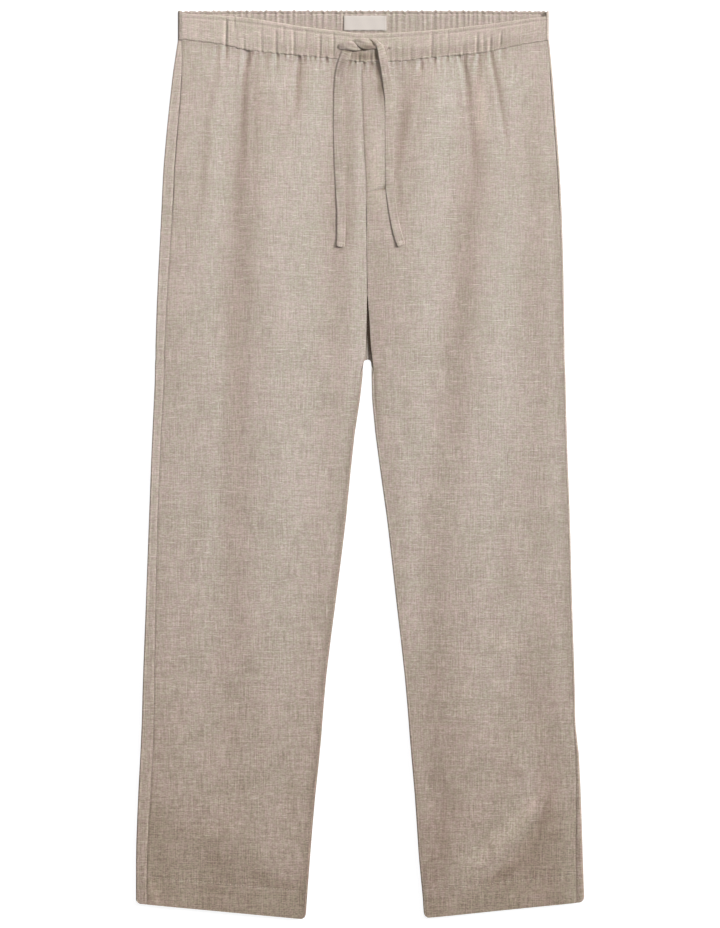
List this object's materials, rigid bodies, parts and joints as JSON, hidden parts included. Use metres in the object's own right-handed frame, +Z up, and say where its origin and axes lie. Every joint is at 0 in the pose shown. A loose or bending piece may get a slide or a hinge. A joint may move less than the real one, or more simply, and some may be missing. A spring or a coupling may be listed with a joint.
{
  "type": "linen drawstring trousers",
  "caption": "Straight-leg linen trousers laid flat, front up, with an elastic drawstring waist, side-seam pockets and a mock fly.",
  "frame": {"origin": "middle of the trousers' outline on the surface they lie on", "axes": "+Z up from that surface, out of the front of the trousers; +Y towards the waist; +X towards the wearer's left leg"},
  "size_m": [0.5287, 1.0714, 0.0105],
  "materials": {
    "linen": "washed plain-weave linen melange, matt, with slubs",
    "linen_tape": "flat folded linen tape, matt",
    "label_cloth": "smooth off-white woven label, bare"
  },
  "bodies": {
    "root": {"front_right": "linen", "front_left": "linen", "back_right": "linen", "back_left": "linen", "waistband_front": "linen", "waistband_back": "linen", "pocket_facing_right": "linen", "pocket_facing_left": "linen", "drawstring_right": "linen_tape", "drawstring_left": "linen_tape", "label": "label_cloth"}
  },
  "joints": []
}
